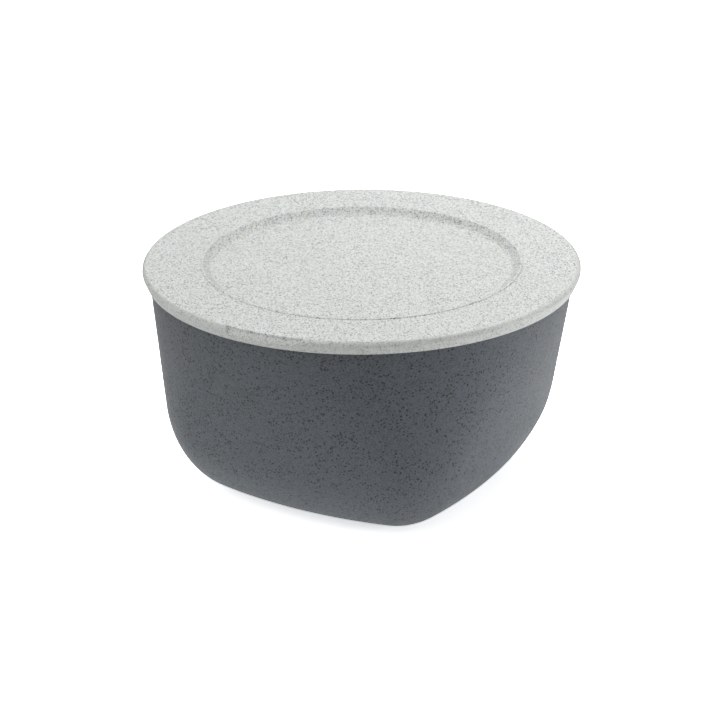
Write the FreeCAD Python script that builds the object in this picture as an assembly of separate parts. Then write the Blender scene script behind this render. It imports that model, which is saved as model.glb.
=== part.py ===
"""Lidded storage bowl: a round-rimmed moulded bowl that blends down to a rounded-square
base, and a round press-on lid with a fine lip round its sunken top panel and a thumb
notch in its rim.

Millimetres, +Z up.  The origin is the centre of the base plane, on the axis of the rim.
X and Y run square to the four sides of the base.
"""
import FreeCAD, Part
import os
from math import asin, atan2, cos, radians, sin, sqrt, tan

V = FreeCAD.Vector
UP = V(0, 0, 1)

# ---------------------------------------------------------------- overall
OVERALL_HEIGHT = 82.35       # base plane to the outer edge of the lid's top ring

# ---------------------------------------------------------------- bowl
HALF_WIDTH = 63.4            # axis to the middle of a side, where the base fillet is upright
HALF_DIAGONAL = 72.3         # axis to a corner, at the same height
SIDE_TURN = 12.95            # degrees that each side bows either way from its middle
FILLET_IN = 30.25            # how far the elliptical base fillet comes in
FILLET_RISE = 36.7           # its height, down to its own lowest point
BASE_CUT = 0.6               # how far above that lowest point the flat base lies
WALL = 2.2
FLOOR = 2.4                  # base plane to the inside floor
FOOT_WIDTH = 4.0             # the standing ring round the base panel
FOOT_RECESS = 0.7            # how far the base panel is set up inside that ring
RIM_RADIUS = 75.5            # outside of the round rim
RIM_EDGE = 0.85              # rounding of the two edges of the rim's top
RIM_BEAD = 0.15              # how far the grip bead stands out of the rim

# ---------------------------------------------------------------- lid
LID_RADIUS = 78.0            # at its widest, just under the shoulder
PLATE = 2.0                  # thickness of the top ring
RING_FALL = 0.24             # how far the top ring falls on its way in to the lip
SHOULDER = 1.4               # rounding between the top ring and the skirt
SKIRT_DROP = 4.55            # top ring to the skirt's lower edge
SKIRT_DRAFT = 22.0           # degrees that the skirt leans in on its way down
SKIRT_INSIDE = 75.95
SKIRT_EDGE = 0.3             # rounding of the skirt's lower edge
LIP_RADIUS = 57.4            # outside of the fine lip that stands round the sunken panel
LIP_EDGE = 0.12              # rounding of its edges
PANEL_RADIUS = 56.5          # inside of the lip, where the panel's wall starts
PANEL_DEPTH = 2.2            # lip to panel
PANEL_DRAFT = 52.0           # degrees off vertical of the panel's wall
PANEL_FILLET = 3.5           # rounding at the foot of the wall
PANEL_THICKNESS = 1.8
UNDER_EDGE = 0.7             # rounding where the underside meets the locating ring and the panel
PLUG_RADIUS = 73.0           # the locating ring under the lid, at its root
PLUG_TAPER = 0.4             # how much smaller it is at its free edge
PLUG_THICKNESS = 1.4
PLUG_DROP = 3.4              # how far it hangs below the top ring's underside
PLUG_EDGE = 0.45             # rounding of its free edge
NOTCH_ANGLE = -86.9          # middle of the thumb notch, in degrees from +X
NOTCH_SPAN = 20.0            # degrees of the rim that its wall takes, at the floor
NOTCH_RADIUS = 76.4          # its inner wall
NOTCH_DEPTH = 0.95           # its floor below the top ring, at that wall
NOTCH_FALL = 1.25            # further drop of the floor for each mm outward
NOTCH_ENDS = (55.0, 28.0)    # degrees that its two ends slope, clockwise end first
CUT_PAST = 2.0               # how far the notch's cutting shape reaches past the lid

# ---------------------------------------------------------------- moulding gate marks
GATE_RADIUS = 1.8
GATE_DEPTH = 0.25

# ---------------------------------------------------------------- how finely the body is drawn
FILLET_STEPS = 12            # steps up the base fillet
WALL_STEPS = 5               # and up the wall
TANGENT_PASSES = 12          # passes that find where the wall leaves the fillet

RIM_LINE = OVERALL_HEIGHT - SKIRT_DROP       # where the round rim starts
RIM_TOP = OVERALL_HEIGHT - PLATE             # where the lid rests
FILLET_TOP = FILLET_RISE - BASE_CUT          # where the base fillet meets the wall


# ---------------------------------------------------------------- helpers
def profile(corners):
    """Face in the XZ plane from (r, z, rounding) corners; each rounding is an arc."""
    arcs = []
    for i, (r, z, rounding) in enumerate(corners):
        here = V(r, 0, z)
        before = V(corners[i - 1][0], 0, corners[i - 1][1]) - here
        after = V(corners[(i + 1) % len(corners)][0], 0, corners[(i + 1) % len(corners)][1]) - here
        half = before.getAngle(after) / 2
        before.normalize()
        after.normalize()
        towards_centre = (before + after).normalize() if rounding else before
        reach = rounding / tan(half)
        arcs.append((here + before * reach,
                     here + towards_centre * (rounding / sin(half) - rounding),
                     here + after * reach))
    edges = []
    for i, (start, middle, end) in enumerate(arcs):
        if corners[i][2]:
            edges.append(Part.Arc(start, middle, end).toShape())
        edges.append(Part.LineSegment(end, arcs[(i + 1) % len(arcs)][0]).toShape())
    return Part.Face(Part.Wire(edges))


def turned(corners):
    """Solid of revolution about Z from (r, z, rounding) corners."""
    return profile(corners).revolve(V(0, 0, 0), UP, 360)


# ---------------------------------------------------------------- bowl
def plan_arcs(side, diagonal):
    """Arcs of the rounded square: (centre, radius, start angle, end angle), side by side.

    side and diagonal are its reach from the axis across a side and across a corner.  Every
    side turns by the same angle, so equal reaches give a circle.
    """
    turn = radians(SIDE_TURN)
    inset = (diagonal - side) / (sqrt(2) - 1 - tan(turn / 2))
    corner_radius = diagonal - sqrt(2) * inset
    side_radius = corner_radius + inset / sin(turn)
    arcs = []
    for facing in (0, 90, 180, 270):
        x, y = cos(radians(facing)), sin(radians(facing))
        arcs.append((V(x, y, 0) * (side - side_radius), side_radius,
                     facing - SIDE_TURN, facing + SIDE_TURN))
        arcs.append((V(x - y, x + y, 0) * inset, corner_radius,
                     facing + SIDE_TURN, facing + 90 - SIDE_TURN))
    return arcs


def outline(side, diagonal, height):
    """Closed wire of the rounded square at a height."""
    edges = []
    for centre, radius, start, end in plan_arcs(side, diagonal):
        circle = Part.Circle(centre + UP * height, UP, radius)
        edges.append(Part.Arc(circle, radians(start), radians(end)).toShape())
    return Part.Wire(edges)


def reach(widest, height, inset, lowest):
    """Reach from the axis at a height: round the base fillet, then straight to the rim line.

    widest is the reach where the fillet is upright.  The wall leaves the fillet where the
    two are tangent.
    """
    rise = FILLET_TOP - lowest
    depth = FILLET_IN - inset
    rim = RIM_RADIUS - inset

    def fillet(turn):
        return widest - inset - depth * (1 - cos(turn)), FILLET_TOP - rise * sin(turn)

    tangent = 0
    for _ in range(TANGENT_PASSES):
        out, up = fillet(tangent)
        tangent = atan2(rise * (rim - out), depth * (RIM_LINE - up))
    out, up = fillet(tangent)
    if height > up:
        return out + (rim - out) * (height - up) / (RIM_LINE - up)
    return fillet(asin((FILLET_TOP - height) / rise))[0]


def body_outline(height, inset, lowest):
    """Outline at a height of the surface that lies inset inside the bowl's outside."""
    return outline(reach(HALF_WIDTH, height, inset, lowest),
                   reach(HALF_DIAGONAL, height, inset, lowest), height)


def body_solid(inset, lowest, base):
    """Solid from the flat base up to the rim line, closely sectioned round the base fillet.

    inset is how far it lies inside the bowl's outside, lowest is the height where its
    fillet would run level, and base is the height of its flat base.
    """
    rise = FILLET_TOP - lowest
    first = asin((FILLET_TOP - base) / rise)
    heights = [FILLET_TOP - rise * sin(first * (1 - i / FILLET_STEPS)) for i in range(FILLET_STEPS)]
    heights += [FILLET_TOP + (RIM_LINE - FILLET_TOP) * i / WALL_STEPS for i in range(WALL_STEPS + 1)]
    heights[0] = base
    return Part.makeLoft([body_outline(height, inset, lowest) for height in heights], True, False)


def bowl():
    """The bowl: body, round rim with its grip bead, and the recessed base panel."""
    inside = RIM_RADIUS - WALL
    bead = (RIM_LINE + RIM_TOP) / 2
    rim = turned([(inside, RIM_LINE, 0),
                  (RIM_RADIUS, RIM_LINE, 0),
                  (RIM_RADIUS, bead - 4 * RIM_BEAD, 0),
                  (RIM_RADIUS + RIM_BEAD, bead, 3 * RIM_BEAD),
                  (RIM_RADIUS, bead + 4 * RIM_BEAD, 0),
                  (RIM_RADIUS, RIM_TOP, RIM_EDGE),
                  (inside, RIM_TOP, RIM_EDGE)])
    gate = turned([(0, FOOT_RECESS, 0),
                   (GATE_RADIUS, FOOT_RECESS, 0),
                   (GATE_RADIUS - GATE_DEPTH, FOOT_RECESS + GATE_DEPTH, 0),
                   (0, FOOT_RECESS + GATE_DEPTH, 0)])
    panel = outline(reach(HALF_WIDTH, 0, 0, -BASE_CUT) - FOOT_WIDTH,
                    reach(HALF_DIAGONAL, 0, 0, -BASE_CUT) - FOOT_WIDTH, 0)
    body = body_solid(0, -BASE_CUT, 0).cut(body_solid(WALL, FLOOR, FLOOR))
    return body.fuse(rim).cut(Part.Face(panel).extrude(UP * FOOT_RECESS)).cut(gate)


# ---------------------------------------------------------------- lid
def lid():
    """The lid: top ring, lip and sunken panel, skirt, locating ring and thumb notch."""
    top = OVERALL_HEIGHT
    panel = top - PANEL_DEPTH
    under = panel - PANEL_THICKNESS
    skirt_foot = top - SKIRT_DROP
    plug_foot = RIM_TOP - PLUG_DROP
    lean = atan2(RING_FALL, LID_RADIUS - SHOULDER - LIP_RADIUS)
    draft = radians(SKIRT_DRAFT)
    spread = SHOULDER / (1 - sin(lean + draft))
    shoulder = LID_RADIUS - SHOULDER + spread * (cos(draft) - sin(lean))
    shoulder_top = top - SHOULDER + spread * (cos(lean) - sin(draft))
    lip_foot = shoulder_top - (shoulder - LIP_RADIUS) * tan(lean)
    skirt_edge = shoulder - (shoulder_top - skirt_foot) * tan(draft)
    panel_foot = PANEL_RADIUS - PANEL_DEPTH * tan(radians(PANEL_DRAFT))
    under_foot = panel_foot + PANEL_THICKNESS * tan(radians(90 - PANEL_DRAFT) / 2)
    under_start = under_foot + (RIM_TOP - under) * tan(radians(PANEL_DRAFT))
    plug_edge = PLUG_RADIUS - PLUG_TAPER
    solid = turned([(0, panel - GATE_DEPTH, 0),
                    (GATE_RADIUS - GATE_DEPTH, panel - GATE_DEPTH, 0),
                    (GATE_RADIUS, panel, 0),
                    (panel_foot, panel, PANEL_FILLET),
                    (PANEL_RADIUS, top, LIP_EDGE),
                    (LIP_RADIUS, top, LIP_EDGE),
                    (LIP_RADIUS, lip_foot, LIP_EDGE),
                    (shoulder, shoulder_top, SHOULDER),
                    (skirt_edge, skirt_foot, SKIRT_EDGE),
                    (SKIRT_INSIDE, skirt_foot, SKIRT_EDGE),
                    (SKIRT_INSIDE, RIM_TOP, SKIRT_EDGE),
                    (PLUG_RADIUS, RIM_TOP, 0),
                    (plug_edge, plug_foot, PLUG_EDGE),
                    (plug_edge - PLUG_THICKNESS, plug_foot, PLUG_EDGE),
                    (plug_edge - PLUG_THICKNESS, RIM_TOP, UNDER_EDGE),
                    (under_start, RIM_TOP, UNDER_EDGE),
                    (under_foot, under, PANEL_FILLET + PANEL_THICKNESS),
                    (0, under, 0)])
    return solid.cut(notch_space())


def notch_space():
    """The space of the thumb notch: an upright wall, a steep floor and two sloping ends."""
    floor = OVERALL_HEIGHT - NOTCH_DEPTH
    width = LID_RADIUS + CUT_PAST - NOTCH_RADIUS
    past = 3 * width             # how far the two sloping faces carry on under the floor
    section = profile([(NOTCH_RADIUS, floor, 0),
                       (NOTCH_RADIUS + width, floor - NOTCH_FALL * width, 0),
                       (NOTCH_RADIUS + width, OVERALL_HEIGHT + CUT_PAST, 0),
                       (NOTCH_RADIUS, OVERALL_HEIGHT + CUT_PAST, 0)])
    space = section.revolve(V(0, 0, 0), UP, 2 * NOTCH_SPAN)
    space.rotate(V(0, 0, 0), UP, NOTCH_ANGLE - NOTCH_SPAN)
    for side, slope in zip((-1, 1), NOTCH_ENDS):
        beyond = Part.makeBox(NOTCH_RADIUS, LID_RADIUS, LID_RADIUS)
        beyond.translate(V(NOTCH_RADIUS / 2, (side - 1) * LID_RADIUS / 2 - side * past, -LID_RADIUS))
        beyond.rotate(V(0, 0, 0), V(1, 0, 0), side * slope)
        beyond.translate(UP * floor)
        beyond.rotate(V(0, 0, 0), UP, NOTCH_ANGLE + side * NOTCH_SPAN / 2)
        space = space.cut(beyond)
    return space


os.makedirs("parts", exist_ok=True)
for name, shape in (("bowl", bowl()), ("lid", lid())):
    solid = shape.Solids[0]
    print(name, len(shape.Solids), "solid, valid:", shape.isValid(),
          "volume cm3:", round(solid.Volume / 1000, 2), "box:", solid.BoundBox)
    solid.exportStep("parts/" + name + ".step")
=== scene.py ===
from math import asin, atan2, cos, degrees, pi, radians, sin, sqrt, tan

import bpy
from mathutils import Matrix, Vector


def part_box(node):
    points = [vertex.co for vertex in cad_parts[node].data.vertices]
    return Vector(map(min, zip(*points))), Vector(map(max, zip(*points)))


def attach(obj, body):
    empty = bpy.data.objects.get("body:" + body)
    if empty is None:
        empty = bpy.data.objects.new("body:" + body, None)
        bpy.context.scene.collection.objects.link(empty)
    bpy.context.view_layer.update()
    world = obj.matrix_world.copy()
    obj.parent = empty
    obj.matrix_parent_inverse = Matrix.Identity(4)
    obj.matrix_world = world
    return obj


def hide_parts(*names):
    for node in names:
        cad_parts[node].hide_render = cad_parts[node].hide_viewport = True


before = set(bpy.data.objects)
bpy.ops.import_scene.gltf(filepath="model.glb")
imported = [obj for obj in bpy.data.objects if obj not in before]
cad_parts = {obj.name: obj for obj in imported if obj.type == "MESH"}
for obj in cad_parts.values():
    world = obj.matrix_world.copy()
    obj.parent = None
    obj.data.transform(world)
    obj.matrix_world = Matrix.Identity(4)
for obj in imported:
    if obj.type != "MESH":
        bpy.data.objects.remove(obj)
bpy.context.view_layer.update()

# Looks of the lidded storage bowl.  Both pieces are drawn finer than their CAD meshes, on
# the same shapes.  Lengths are in millimetres and angles in degrees, unless a line says
# otherwise; a mesh is turned into metres when it is made.
MM = 0.001

# ---------------------------------------------------------------- sizes from the frame
LID_LOW, LID_HIGH = (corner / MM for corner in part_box("lid"))
TOP = LID_HIGH.z
LID_RADIUS = LID_HIGH.x
PLUG_FOOT = LID_LOW.z
RIM_TOP = (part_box("bowl")[1] / MM).z

# ---------------------------------------------------------------- bowl
SKIRT_DROP = 4.55            # top of the lid down to the foot of its skirt
RIM_LINE = TOP - SKIRT_DROP  # where the bowl's round rim starts, level with the skirt's foot
RIM_RADIUS = 75.5
RIM_EDGE = 0.85              # rounding of the rim's two edges
BEAD = 0.15                  # how far the grip bead stands out of the rim
BEAD_HALF = 0.6              # half the bead's height
BEAD_ROUNDING = 0.45
HALF_WIDTH = 63.4            # axis to the middle of a side, where the base fillet is upright
HALF_DIAGONAL = 72.3         # axis to a corner, at the same height
SIDE_TURN = 12.95            # how far each side bows either way from its middle
FILLET_IN = 30.25            # how far the base fillet comes in
FILLET_RISE = 36.7           # its height, down to its own lowest point
BASE_CUT = 0.6               # how far above that lowest point the flat base lies
FILLET_TOP = FILLET_RISE - BASE_CUT
WALL = 2.2
FLOOR = 2.4
FOOT_WIDTH = 4.0             # standing ring round the base
FOOT_RECESS = 0.7            # how far the base panel lies above it

# ---------------------------------------------------------------- lid
RING_FALL = 0.24             # how far the top ring falls on its way in to the lip
SHOULDER = 1.4               # radius of the bend from top ring to skirt
SKIRT_DRAFT = 22.0           # how far the skirt leans in from upright
SKIRT_INSIDE = 75.95         # inner radius of the skirt
SKIRT_EDGE = 0.3
LIP_RADIUS = 57.4            # outside of the fine lip that stands round the sunken panel
LIP_EDGE = 0.12
PANEL_RADIUS = 56.5          # inside of the lip, where the panel's wall starts
PANEL_DEPTH = 2.2
PANEL_DRAFT = 52.0           # how far the panel's wall leans from upright
PANEL_FILLET = 3.5           # rounding at the foot of that wall
PANEL_THICKNESS = 1.8
UNDER_EDGE = 0.7             # rounding of the corners on the lid's underside
PLUG_RADIUS = 73.0           # locating ring under the lid, where it starts
PLUG_TAPER = 0.4             # how far its outside comes in down to its foot
PLUG_THICKNESS = 1.4
PLUG_EDGE = 0.45
NOTCH_ANGLE = -86.9          # where the middle of the thumb notch lies, from +X towards +Y
NOTCH_SPAN = 20.0
NOTCH_RADIUS = 76.4          # the notch's wall
NOTCH_DEPTH = 0.95           # depth of that wall
NOTCH_FALL = 1.25            # how steeply the notch's floor falls outwards, as a ratio
NOTCH_ENDS = (55.0, 28.0)    # how steeply its two ends slope, clockwise end first
NOTCH_EDGE = 0.15            # rounding of the notch's own edges
GATE_RADIUS = 1.8            # round moulding mark in the middle of lid and base
GATE_DEPTH = 0.25
SMALL_EDGE = 0.2             # rounding of the edges that CAD leaves sharp

# ---------------------------------------------------------------- how finely they are drawn
ARC_STEPS = 5                # faces round each small rounding
SUPPORT = 0.1                # a loop this far from each rounding keeps the flats flat
HALVINGS = 40                # steps in a search by halving
PASSES = 12                  # steps in the search for where the wall leaves the base fillet
SIDE_COLUMNS = 26            # columns along each of the bowl's sides
CORNER_COLUMNS = 64          # and round each of its corners
FILLET_ROWS = 26
WALL_ROWS = 14
HUB = GATE_RADIUS / 4        # radius of the innermost ring of a round face
LID_COLUMNS = 480            # columns round the whole lid, away from the notch
NOTCH_COLUMNS = 22           # and between the notch's two ends
# depths that the notch's end has cut down to at each column, before its full depth
END_DEPTHS = (-0.06, 0.0, 0.03, 0.08, 0.16, 0.26, 0.36, 0.5, 0.65, 0.8, 0.95,
              1.15, 1.35, 1.55, 1.75, 1.95, 2.15, 2.35, 2.6)
SHALLOW_CUT = 0.35           # cuts less deep than this are blended from one of this depth
CREASE_PAST = 0.3            # how far past the middle of the cut its crease may lie


# ---------------------------------------------------------------- meshes
def add_object(name, data):
    """A new object in the scene."""
    made = bpy.data.objects.new(name, data)
    bpy.context.scene.collection.objects.link(made)
    return made


def add_piece(name, rows, body, node, material):
    """A closed piece from rows of points, each row a ring; the first and last close up."""
    count = len(rows[0])
    points = [(x * MM, y * MM, z * MM) for row in rows for x, y, z in row]
    faces = []
    for r in range(len(rows) - 1):
        for c in range(count):
            d = (c + 1) % count
            faces.append((r * count + c, r * count + d, (r + 1) * count + d, (r + 1) * count + c))
    for first, step in ((0, -1), ((len(rows) - 1) * count, 1)):
        end = list(range(first, first + count))
        centre = len(points)
        points.append(tuple(sum(points[i][k] for i in end) / count for k in range(3)))
        for c in range(count):
            faces.append((end[c], end[(c + step) % count], centre))
    mesh = bpy.data.meshes.new(name)
    mesh.from_pydata(points, [], faces)
    mesh.shade_smooth()
    mesh.materials.append(material)
    mesh.validate()
    piece = add_object(name, mesh)
    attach(piece, body)
    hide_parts(node)


def soft_path(corners):
    """(a, z) points along a path of (a, z, rounding) corners, closer together at each rounding."""
    bends = []
    for i, (a, z, rounding) in enumerate(corners):
        here = Vector((a, z))
        if not rounding:
            bends.append([here])
            continue
        back = (Vector(corners[i - 1][:2]) - here).normalized()
        ahead = (Vector(corners[i + 1][:2]) - here).normalized()
        half = back.angle(ahead) / 2
        centre = here + (back + ahead).normalized() * (rounding / sin(half))
        start = here + back * (rounding / tan(half)) - centre
        end = here + ahead * (rounding / tan(half)) - centre
        sweep = start.angle(end)
        bends.append([centre + (start * sin(sweep * (1 - k / ARC_STEPS))
                                + end * sin(sweep * k / ARC_STEPS)) / sin(sweep)
                      for k in range(ARC_STEPS + 1)])
    points = [bends[0][-1]]
    for bend in bends[1:]:
        start, end = points[-1], bend[0]
        gap = (end - start).length
        if gap > 4 * SUPPORT:
            points += [start.lerp(end, SUPPORT / gap), start.lerp(end, 1 - SUPPORT / gap)]
        points += bend if gap > 1e-6 else bend[1:]
    return points


# ---------------------------------------------------------------- bowl
def ring(side, diagonal, height):
    """One level ring of the rounded square that reaches side and diagonal from the axis."""
    turn = radians(SIDE_TURN)
    inset = (diagonal - side) / (sqrt(2) - 1 - tan(turn / 2))
    corner_radius = diagonal - sqrt(2) * inset
    side_radius = corner_radius + inset / sin(turn)
    points = []
    for facing in (0, 90, 180, 270):
        x, y = cos(radians(facing)), sin(radians(facing))
        spans = (((side - side_radius) * x, (side - side_radius) * y, side_radius,
                  facing - SIDE_TURN, 2 * SIDE_TURN, SIDE_COLUMNS),
                 (inset * (x - y), inset * (x + y), corner_radius,
                  facing + SIDE_TURN, 90 - 2 * SIDE_TURN, CORNER_COLUMNS))
        for cx, cy, radius, start, span, columns in spans:
            for i in range(columns):
                normal = radians(start + span * i / columns)
                points.append((cx + radius * cos(normal), cy + radius * sin(normal), height))
    return points


def round_rings(corners):
    """Round rings along a path of (radius, height, rounding) corners."""
    return [ring(radius, radius, height) for radius, height in soft_path(corners)]


def fillet_point(widest, inset, lowest, turn):
    """Reach and height of the base fillet where it has turned this far from upright."""
    return (widest - inset - (FILLET_IN - inset) * (1 - cos(turn)),
            FILLET_TOP - (FILLET_TOP - lowest) * sin(turn))


def fillet_turn(widest, inset, lowest):
    """Turn, in radians from upright, at which the wall leaves the base fillet."""
    turn = 0
    for _ in range(PASSES):
        out, up = fillet_point(widest, inset, lowest, turn)
        turn = atan2((FILLET_TOP - lowest) * (RIM_RADIUS - inset - out),
                     (FILLET_IN - inset) * (RIM_LINE - up))
    return turn


def reach(widest, height, inset, lowest):
    """Reach from the axis at a height: round the base fillet, then straight to the rim."""
    out, up = fillet_point(widest, inset, lowest, fillet_turn(widest, inset, lowest))
    if height > up:
        return out + (RIM_RADIUS - inset - out) * (height - up) / (RIM_LINE - up)
    turn = asin(min(1, (FILLET_TOP - height) / (FILLET_TOP - lowest)))
    return fillet_point(widest, inset, lowest, turn)[0]


def body_rings(inset, lowest, base):
    """Rings from the flat base up to the rim line, evenly spaced round the base fillet."""
    first = asin(min(1, (FILLET_TOP - base) / (FILLET_TOP - lowest)))
    heights = [FILLET_TOP - (FILLET_TOP - lowest) * sin(first * (1 - i / FILLET_ROWS))
               for i in range(FILLET_ROWS)]
    heights += [FILLET_TOP + (RIM_LINE - FILLET_TOP) * i / WALL_ROWS for i in range(WALL_ROWS)]
    return [ring(reach(HALF_WIDTH, z, inset, lowest), reach(HALF_DIAGONAL, z, inset, lowest), z)
            for z in heights]


def base_rings():
    """The bowl's underside, from the moulding mark in the middle out to its standing ring."""
    rows = round_rings([
        (HUB, FOOT_RECESS + GATE_DEPTH, 0),
        (GATE_RADIUS - GATE_DEPTH, FOOT_RECESS + GATE_DEPTH, SMALL_EDGE),
        (GATE_RADIUS, FOOT_RECESS, SMALL_EDGE / 2),
        (GATE_RADIUS + 1, FOOT_RECESS, 0)])
    side = reach(HALF_WIDTH, 0, 0, -BASE_CUT)
    diagonal = reach(HALF_DIAGONAL, 0, 0, -BASE_CUT)
    recess_edge = FOOT_WIDTH + 2 * SMALL_EDGE
    for share in (0.25, 0.5, 0.75):
        rows.append(ring((side - recess_edge) * share, (diagonal - recess_edge) * share, FOOT_RECESS))
    foot = soft_path([
        (recess_edge, FOOT_RECESS, 0),
        (FOOT_WIDTH, FOOT_RECESS, SMALL_EDGE),
        (FOOT_WIDTH, 0, SMALL_EDGE),
        (SUPPORT, 0, 0)])
    return rows + [ring(side - inset, diagonal - inset, z) for inset, z in foot]


def rim_rings():
    """The round rim, up its outside with the grip bead, over its top and down its inside."""
    inside = RIM_RADIUS - WALL
    bead = (RIM_LINE + RIM_TOP) / 2
    return round_rings([
        (RIM_RADIUS, RIM_LINE, 0),
        (RIM_RADIUS, bead - BEAD_HALF, SMALL_EDGE / 2),
        (RIM_RADIUS + BEAD, bead, BEAD_ROUNDING),
        (RIM_RADIUS, bead + BEAD_HALF, SMALL_EDGE / 2),
        (RIM_RADIUS, RIM_TOP, RIM_EDGE),
        (inside, RIM_TOP, RIM_EDGE),
        (inside, RIM_LINE, 0)])


def floor_rings():
    """The bowl's floor, from its edge to the middle."""
    side = reach(HALF_WIDTH, FLOOR, WALL, FLOOR)
    diagonal = reach(HALF_DIAGONAL, FLOOR, WALL, FLOOR)
    return [ring(side * share, diagonal * share, FLOOR) for share in (0.98, 0.75, 0.5, 0.25, 0.05)]


def bowl_rows():
    """All the bowl's rings, from the middle of its underside round to the middle of its floor."""
    outside = body_rings(0, -BASE_CUT, 0)
    inside = body_rings(WALL, FLOOR, FLOOR)
    return base_rings() + outside + rim_rings() + inside[::-1] + floor_rings()


# ---------------------------------------------------------------- lid's outline
LEAN = atan2(RING_FALL, LID_RADIUS - SHOULDER - LIP_RADIUS)   # the top ring's, in radians
DRAFT = radians(SKIRT_DRAFT)
SWEEP = SHOULDER * (pi / 2 + DRAFT + LEAN)                    # length of the shoulder's arc
SPREAD = SHOULDER / (1 - sin(LEAN + DRAFT))
# where the lines of top ring and skirt would cross, beyond the shoulder
CORNER = Vector((LID_RADIUS - SHOULDER + SPREAD * (cos(DRAFT) - sin(LEAN)),
                 TOP - SHOULDER + SPREAD * (cos(LEAN) - sin(DRAFT))))
# places along the outline, from where the shoulder's arc starts
EDGE_START = -0.9            # the rows that the notch bends start here
EDGE_END = SWEEP + 1.1       # and end here
WALL_START = NOTCH_RADIUS - (LID_RADIUS - SHOULDER - SHOULDER * sin(LEAN))   # the notch's wall


def edge_point(s):
    """Point of the lid's outline s mm along it from where the shoulder's arc starts."""
    turn = min(max(s, 0), SWEEP) / SHOULDER - LEAN
    out = Vector((sin(turn), cos(turn)))
    point = Vector((LID_RADIUS - SHOULDER, TOP - SHOULDER)) + out * SHOULDER
    if s < 0:
        point += Vector((cos(LEAN), sin(LEAN))) * s
    if s > SWEEP:
        point += Vector((-sin(DRAFT), -cos(DRAFT))) * (s - SWEEP)
    return point


def edge_above(depth_at):
    """How far along the outline it stays above the depth that depth_at gives for its radius."""
    low, high = 0.0, 2 * SWEEP
    for _ in range(HALVINGS):
        middle = (low + high) / 2
        point = edge_point(middle)
        if TOP - point.y < depth_at(point.x):
            low = middle
        else:
            high = middle
    return low


def arc(start, corner, end, share):
    """Point part of the way round a small rounding."""
    return start * (1 - share) ** 2 + corner * (2 * share * (1 - share)) + end * share ** 2


def edge_rows(ramp):
    """Points across the lid's outer edge; ramp is how deep the notch's end cuts here, or None."""
    depth = max(ramp or 0, SHALLOW_CUT)

    def floor_depth(radius):
        return min(NOTCH_DEPTH + NOTCH_FALL * (radius - NOTCH_RADIUS), depth)

    meet = edge_above(floor_depth)
    outer = edge_point(meet)
    crease = NOTCH_RADIUS + max((depth - NOTCH_DEPTH) / NOTCH_FALL, NOTCH_EDGE)
    crease = min(crease, (NOTCH_RADIUS + outer.x) / 2 + CREASE_PAST)
    wall_foot = min(depth, NOTCH_DEPTH)
    rounding = min(NOTCH_EDGE, wall_foot / 3)
    start = edge_point(WALL_START)
    top_out = start - Vector((rounding, 0))
    top_in = start - Vector((0, rounding))
    wall = Vector((NOTCH_RADIUS, TOP - wall_foot))
    bend = Vector((crease, TOP - floor_depth(crease)))
    lip_in = outer + (bend - outer).normalized() * rounding
    ring_end = WALL_START - rounding
    past = meet + rounding
    # stretches of the edge: rows, where they end along the plain outline, and the cut's path
    stretches = (
        (3, ring_end, lambda t: edge_point(EDGE_START + (ring_end - EDGE_START) * t)),
        (4, WALL_START + rounding, lambda t: arc(top_out, start, top_in, t)),
        (4, 0.3 * meet, lambda t: top_in.lerp(wall, t)),
        (4, 0.6 * meet, lambda t: wall.lerp(bend, t)),
        (3, meet - rounding, lambda t: bend.lerp(lip_in, t)),
        (4, past, lambda t: arc(lip_in, outer, edge_point(past), t)),
        (12, EDGE_END, lambda t: edge_point(past + (EDGE_END - past) * t)))
    plain, cut = [], []
    first = EDGE_START
    for count, last, path in stretches:
        for i in range(count):
            plain.append(edge_point(first + (last - first) * (i / count)))
            cut.append(path(i / count))
        first = last
    if ramp is None:
        return plain
    share = min(ramp / SHALLOW_CUT, 1)
    return [a.lerp(b, share) for a, b in zip(plain, cut)]


# ---------------------------------------------------------------- lid
def end_columns(side, slope, deepest):
    """Columns down one end of the notch, on the side -1 or 1 of its middle."""
    columns = []
    for depth in END_DEPTHS + (deepest,):
        inwards = (depth - NOTCH_DEPTH) / tan(radians(slope))
        columns.append((side * (NOTCH_SPAN / 2 - degrees(inwards / LID_RADIUS)), max(depth, 0) or None))
    return columns


def columns_between(first, last, steps, ramp):
    """Columns evenly spaced between two angles, without the two themselves."""
    return [(first + (last - first) * i / steps, ramp) for i in range(1, steps)]


def lid_columns():
    """(angle from the notch's middle, depth that the notch cuts there or None), all the way round."""
    deepest = NOTCH_DEPTH + NOTCH_FALL * (LID_RADIUS - NOTCH_RADIUS)
    down = end_columns(-1, NOTCH_ENDS[0], deepest)
    up = end_columns(1, NOTCH_ENDS[1], deepest)[::-1]
    notch = down + columns_between(down[-1][0], up[0][0], NOTCH_COLUMNS, deepest) + up
    last, again = notch[-1][0], notch[0][0] + 360
    steps = round(LID_COLUMNS * (again - last) / 360)
    return notch + columns_between(last, again, steps, None)


def top_path():
    """The lid's top from the middle of the panel out to where the rows of the edge start."""
    panel = TOP - PANEL_DEPTH
    panel_foot = PANEL_RADIUS - PANEL_DEPTH * tan(radians(PANEL_DRAFT))
    lip_foot = CORNER.y - (CORNER.x - LIP_RADIUS) * tan(LEAN)
    last = edge_point(EDGE_START)
    return soft_path([
        (HUB, panel - GATE_DEPTH, 0),
        (GATE_RADIUS - GATE_DEPTH, panel - GATE_DEPTH, SMALL_EDGE),
        (GATE_RADIUS, panel, SMALL_EDGE / 2),
        (panel_foot, panel, PANEL_FILLET),
        (PANEL_RADIUS, TOP, LIP_EDGE),
        (LIP_RADIUS, TOP, LIP_EDGE),
        (LIP_RADIUS, lip_foot, LIP_EDGE),
        (last.x - SUPPORT, last.y - SUPPORT * tan(LEAN), 0)])


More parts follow.
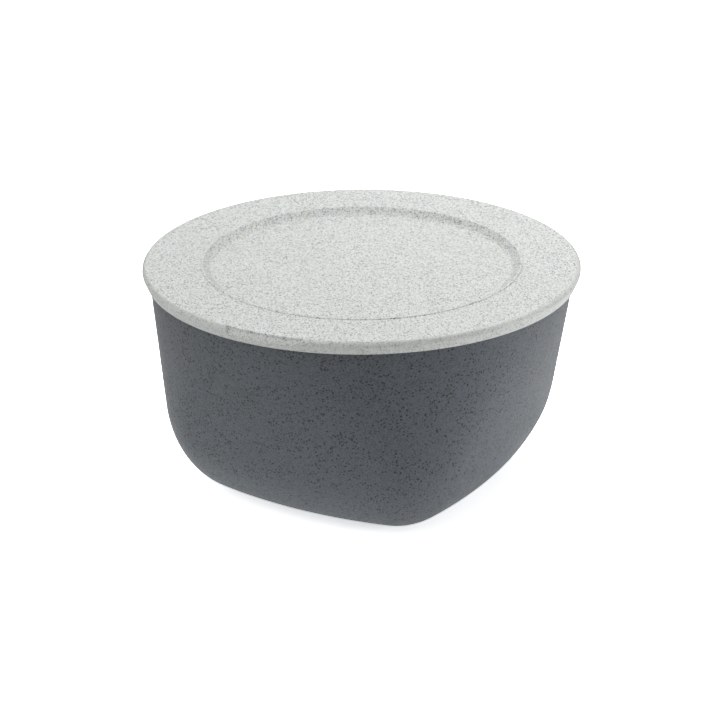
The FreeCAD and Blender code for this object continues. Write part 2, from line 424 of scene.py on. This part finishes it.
def under_path():
    """From the last row of the edge down the skirt, then in along the lid's underside."""
    under = TOP - PANEL_DEPTH - PANEL_THICKNESS
    panel_foot = PANEL_RADIUS - PANEL_DEPTH * tan(radians(PANEL_DRAFT))
    under_foot = panel_foot + PANEL_THICKNESS * tan(radians(90 - PANEL_DRAFT) / 2)
    under_start = under_foot + (RIM_TOP - under) * tan(radians(PANEL_DRAFT))
    plug_outside = PLUG_RADIUS - PLUG_TAPER
    plug_inside = plug_outside - PLUG_THICKNESS
    skirt_foot = CORNER.x - (CORNER.y - RIM_LINE) * tan(DRAFT)
    first = edge_point(EDGE_END)
    return soft_path([
        (first.x, first.y, 0),
        (skirt_foot, RIM_LINE, SKIRT_EDGE),
        (SKIRT_INSIDE, RIM_LINE, SKIRT_EDGE),
        (SKIRT_INSIDE, RIM_TOP, SKIRT_EDGE),
        (PLUG_RADIUS, RIM_TOP, SMALL_EDGE / 2),
        (plug_outside, PLUG_FOOT, PLUG_EDGE),
        (plug_inside, PLUG_FOOT, PLUG_EDGE),
        (plug_inside, RIM_TOP, UNDER_EDGE),
        (under_start, RIM_TOP, UNDER_EDGE),
        (under_foot, under, PANEL_FILLET + PANEL_THICKNESS),
        (GATE_RADIUS, under, 0),
        (HUB, under, 0)])


def lid_rows():
    """All the lid's rings, from the middle of its underside round to the middle of its top."""
    columns = lid_columns()
    directions = [(cos(radians(NOTCH_ANGLE + angle)), sin(radians(NOTCH_ANGLE + angle)))
                  for angle, _ in columns]
    sections = {ramp: edge_rows(ramp) for _, ramp in columns}
    rows = [[(r * x, r * y, z) for x, y in directions] for r, z in top_path()]
    for points in zip(*(sections[ramp] for _, ramp in columns)):
        rows.append([(point.x * x, point.x * y, point.y) for point, (x, y) in zip(points, directions)])
    rows += [[(r * x, r * y, z) for x, y in directions] for r, z in under_path()]
    return rows[::-1]


# ---------------------------------------------------------------- materials
GRAIN_SIZE = 0.33            # of the fine grain in both plastics
GRAIN_LEAST = 0.45           # grains whose chance is below this don't show
GRAIN_STRENGTH = 0.68
GLOSS_SIZE = 1.5             # of the patches that are a little smoother or rougher
RELIEF_SIZE = 0.45           # of the fine unevenness of both surfaces
RELIEF = 0.015               # its height
CHARCOAL = ((0.091, 0.107, 0.121, 1), (0.104, 0.116, 0.134, 1))   # darker and lighter clouds
CHARCOAL_GRAIN = (0.008, 0.012, 0.016, 1)
CHARCOAL_SPECK = (0.004, 0.008, 0.011, 1)
PALE = ((0.765, 0.784, 0.75, 1), (0.76, 0.784, 0.77, 1))          # warm and cool clouds
PALE_GRAIN = (0.14, 0.143, 0.14, 1)
PALE_FLECK = (0.10, 0.103, 0.10, 1)
PALE_SKIRT = (0.57, 0.583, 0.562, 1)    # the flecked plastic's mean colour
SKIRT_FROM = NOTCH_RADIUS - 0.1         # radii between which the flecks grow fainter
SKIRT_TO = NOTCH_RADIUS + 0.3


def node(tree, kind, inputs=(), **settings):
    """A new node; inputs are values, or sockets to link from."""
    made = tree.nodes.new(kind)
    for key, value in settings.items():
        setattr(made, key, value)
    for key, value in dict(inputs).items():
        if isinstance(value, bpy.types.NodeSocket):
            tree.links.new(value, made.inputs[key])
        else:
            made.inputs[key].default_value = value
    return made


class Nodes:
    """A material's node tree, with one short call per pattern."""

    def __init__(self, name):
        self.material = bpy.data.materials.new(name)
        self.material.use_nodes = True
        self.tree = self.material.node_tree
        self.place = self.add("ShaderNodeTexCoord").outputs["Object"]

    def add(self, kind, inputs=(), **settings):
        """A new node in this tree."""
        return node(self.tree, kind, inputs, **settings)

    def math(self, operation, a, b):
        """a and b, added, multiplied or compared."""
        return self.add("ShaderNodeMath", {0: a, 1: b}, operation=operation).outputs[0]

    def spread(self, value, low, high, to_low=0.0, to_high=1.0):
        """value between low and high, spread from to_low to to_high and kept between them."""
        return self.add("ShaderNodeMapRange", {"Value": value, "From Min": low, "From Max": high,
                                               "To Min": to_low, "To Max": to_high}).outputs["Result"]

    def noise(self, size):
        """Noise whose features are about size mm across, from 0 to 1."""
        return self.add("ShaderNodeTexNoise", {"Vector": self.place, "Scale": 1 / (size * MM),
                                               "Detail": 3.0}).outputs["Fac"]

    def cells(self, size):
        """Cells of size mm: distance from the nearest cell's middle, and its chances from 0 to 1."""
        pattern = self.add("ShaderNodeTexVoronoi", {"Vector": self.place, "Scale": 1 / (size * MM)})
        chances = self.add("ShaderNodeSeparateColor", {"Color": pattern.outputs["Color"]})
        return pattern.outputs["Distance"], chances.outputs

    def grains(self):
        """Fine grains packed edge to edge, each as strong as its own chance."""
        _, chances = self.cells(GRAIN_SIZE)
        return self.spread(chances[0], GRAIN_LEAST, 1)

    def specks(self, cell, smallest, largest, share, softness):
        """Mask of specks, about one to each cell mm that share picks; sizes are in cells."""
        distance, chances = self.cells(cell)
        size = self.spread(chances[0], 0, 1, smallest, largest)
        inside = self.math("SUBTRACT", size, distance)
        edge = self.spread(inside, 0, smallest * softness)
        picked = self.math("LESS_THAN", chances[1], share)
        return self.math("MULTIPLY", edge, picked)

    def beyond(self, start, end):
        """0 within start mm of the axis, rising to 1 at end mm."""
        level = self.add("ShaderNodeVectorMath", {0: self.place, 1: (1, 1, 0)}, operation="MULTIPLY")
        radius = self.add("ShaderNodeVectorMath", {0: level.outputs["Vector"]}, operation="LENGTH")
        return self.spread(radius.outputs["Value"], start * MM, end * MM)

    def tint(self, mask, base, colour, strength=1.0):
        """base, turned towards colour by mask times strength."""
        amount = self.math("MULTIPLY", mask, strength)
        return self.add("ShaderNodeMix", {0: amount, 6: base, 7: colour}, data_type="RGBA").outputs[2]

    def finish(self, colour, smoothest, roughest):
        """The material, with this colour, a roughness between the two, and a fine relief."""
        shader = self.tree.nodes["Principled BSDF"]
        roughness = self.spread(self.noise(GLOSS_SIZE), 0.3, 0.7, smoothest, roughest)
        bump = self.add("ShaderNodeBump", {"Height": self.noise(RELIEF_SIZE), "Strength": 1.0,
                                           "Distance": RELIEF * MM})
        self.tree.links.new(colour, shader.inputs["Base Color"])
        self.tree.links.new(roughness, shader.inputs["Roughness"])
        self.tree.links.new(bump.outputs["Normal"], shader.inputs["Normal"])
        return self.material


def bowl_plastic():
    """Charcoal plastic with near-black specks that gather in clouds over a fine dark grain."""
    n = Nodes("bowl_plastic")
    colour = n.tint(n.noise(size=14), *CHARCOAL)
    colour = n.tint(n.grains(), colour, CHARCOAL_GRAIN, GRAIN_STRENGTH)
    clouds = n.spread(n.noise(size=7), low=0.4, high=0.62, to_low=0.12, to_high=0.75)
    specks = n.specks(cell=0.9, smallest=0.26, largest=0.5, share=clouds, softness=0.4)
    colour = n.tint(specks, colour, CHARCOAL_SPECK)
    return n.finish(colour, smoothest=0.42, roughest=0.52)


def lid_plastic():
    """Pale grey plastic, sown with fine grey flecks that are fainter on the skirt."""
    n = Nodes("lid_plastic")
    colour = n.tint(n.spread(n.noise(size=5), low=0.35, high=0.65), *PALE)
    colour = n.tint(n.grains(), colour, PALE_GRAIN, GRAIN_STRENGTH)
    flecks = n.specks(cell=0.85, smallest=0.2, largest=0.44, share=0.55, softness=0.5)
    colour = n.tint(flecks, colour, PALE_FLECK, strength=0.85)
    colour = n.tint(n.beyond(SKIRT_FROM, SKIRT_TO), colour, PALE_SKIRT, strength=0.5)
    return n.finish(colour, smoothest=0.45, roughest=0.55)


# ---------------------------------------------------------------- stage
AZIMUTH = 28.6               # how far the camera stands round from -Y towards +X
ELEVATION = 23.645
LENS = 113.49                # on a 36 mm sensor
ROLL = -0.3416
# in lid radii, the heights from the base fillet's lowest point
DISTANCE = 10.6147           # camera to the pivot
PIVOT_UP = 0.45              # the pivot, on the axis
AIM_UP = 0.5613              # the point that the camera looks at
AIM_ACROSS = -0.0099         # how far that point lies to the right of the axis

FLOOR_REACH = 6.0            # metres
FLOOR_GAP = 0.05             # keeps the floor just clear of the standing ring
FLOOR_SHADE = 0.8            # share of the light that it gives back to the bowl
FLOOR_SEEN = 2.6             # the same as the camera sees it, overexposed
GLOW = 0.48                  # light that the table gives off under and round the bowl
GLOW_SPAN = (0.1, 0.2)       # metres from the middle between which it dies away

# far soft lamps: how far round from the camera towards its right, how far up, sharpness, strength
LAMPS = {"front_left": (-45, 45, 8.0, 0.44),
         "front": (0, 45, 8.0, 0.51),
         "high_left": (-45, 70, 60.0, 10.4),
         "low_right": (90, 10, 8.0, 1.2),
         "back": (180, 25, 20.0, 2.6),
         "left": (-90, 25, 20.0, 2.3)}
# near softboxes: how far round, how far up, metres off the axis, height of their aim in metres,
# size in metres, watts
SOFTBOXES = {"high_softbox": (140, 50, 0.45, 0.082, 0.25, 0.72),
             "low_softbox": (80, 0, 0.4, 0.035, 0.07, 0.38)}


def towards(around, up):
    """Direction from the axis that lies so far round from the camera, and so far up."""
    bearing, rise = radians(AZIMUTH + around), radians(up)
    return Vector((sin(bearing) * cos(rise), -cos(bearing) * cos(rise), sin(rise)))


def add_camera():
    """The camera, placed by the size of the lid."""
    scale = LID_RADIUS * MM
    base = Vector((0, 0, -BASE_CUT * MM))
    place = base + (towards(0, ELEVATION) * DISTANCE + Vector((0, 0, PIVOT_UP))) * scale
    target = base + (towards(90, 0) * AIM_ACROSS + Vector((0, 0, AIM_UP))) * scale
    turn = (target - place).to_track_quat("-Z", "Y").to_matrix() @ Matrix.Rotation(radians(ROLL), 3, "Z")
    lens = bpy.data.cameras.new("camera")
    lens.lens = LENS
    lens.sensor_width = 36
    lens.clip_start = 0.01
    camera = add_object("camera", lens)
    camera.matrix_world = Matrix.Translation(place) @ turn.to_4x4()
    bpy.context.scene.camera = camera


def table_material():
    """White that glows round the bowl, and that the camera sees a little overexposed."""
    material = bpy.data.materials.new("white_table")
    material.use_nodes = True
    tree = material.node_tree
    tree.nodes.clear()
    seen = node(tree, "ShaderNodeLightPath").outputs["Is Camera Ray"]
    shade = node(tree, "ShaderNodeMapRange", {"Value": seen, "To Min": FLOOR_SHADE, "To Max": FLOOR_SEEN})
    diffuse = node(tree, "ShaderNodeBsdfDiffuse", {"Color": shade.outputs["Result"]})
    place = node(tree, "ShaderNodeTexCoord").outputs["Object"]
    away = node(tree, "ShaderNodeVectorMath", {0: place}, operation="LENGTH").outputs["Value"]
    glow = node(tree, "ShaderNodeMapRange", {"Value": away, "From Min": GLOW_SPAN[0],
                                             "From Max": GLOW_SPAN[1], "To Min": GLOW, "To Max": 0.0})
    emission = node(tree, "ShaderNodeEmission", {"Color": (1, 1, 1, 1), "Strength": glow.outputs["Result"]})
    both = node(tree, "ShaderNodeAddShader", {0: diffuse.outputs[0], 1: emission.outputs[0]})
    node(tree, "ShaderNodeOutputMaterial", {"Surface": both.outputs[0]})
    return material


def add_floor():
    """A wide table top."""
    corners = ((-1, -1), (1, -1), (1, 1), (-1, 1))
    points = [(x * FLOOR_REACH, y * FLOOR_REACH, -FLOOR_GAP * MM) for x, y in corners]
    mesh = bpy.data.meshes.new("floor")
    mesh.from_pydata(points, [], [(0, 1, 2, 3)])
    mesh.materials.append(table_material())
    add_object("floor", mesh)


def add_world():
    """White all round to look at; as light, a few soft lamps in a dark room."""
    world = bpy.data.worlds.new("studio")
    bpy.context.scene.world = world
    world.use_nodes = True
    tree = world.node_tree
    tree.nodes.clear()

    def math(operation, a, b):
        return node(tree, "ShaderNodeMath", {0: a, 1: b}, operation=operation).outputs[0]

    direction = node(tree, "ShaderNodeTexCoord").outputs["Generated"]
    light = 0.0
    for around, up, sharpness, strength in LAMPS.values():
        facing = node(tree, "ShaderNodeVectorMath", {0: direction, 1: towards(around, up)},
                      operation="DOT_PRODUCT").outputs["Value"]
        pool = math("POWER", math("MAXIMUM", facing, 0.0), sharpness)
        light = math("ADD", light, math("MULTIPLY", pool, strength))
    seen = node(tree, "ShaderNodeLightPath").outputs["Is Camera Ray"]
    strength = node(tree, "ShaderNodeMix", {0: seen, 2: light, 3: 1.0}).outputs[0]
    background = node(tree, "ShaderNodeBackground", {"Color": (1, 1, 1, 1), "Strength": strength})
    node(tree, "ShaderNodeOutputWorld", {"Surface": background.outputs[0]})


def add_softbox(name, around, up, distance, height, size, power):
    """A round softbox that faces the axis at a height, from so far round and up."""
    away = towards(around, up)
    light = bpy.data.lights.new(name, "AREA")
    light.shape = "DISK"
    light.size = size
    light.energy = power
    softbox = add_object(name, light)
    softbox.matrix_world = (Matrix.Translation(away * distance + Vector((0, 0, height)))
                            @ away.to_track_quat("Z", "Y").to_matrix().to_4x4())


# ---------------------------------------------------------------- scene
bpy.context.scene.view_settings.view_transform = "Standard"
add_piece("bowl_shell", bowl_rows(), "bowl", "bowl", bowl_plastic())
add_piece("lid_shell", lid_rows(), "lid", "lid", lid_plastic())
add_camera()
add_floor()
add_world()
for name, settings in SOFTBOXES.items():
    add_softbox(name, *settings)
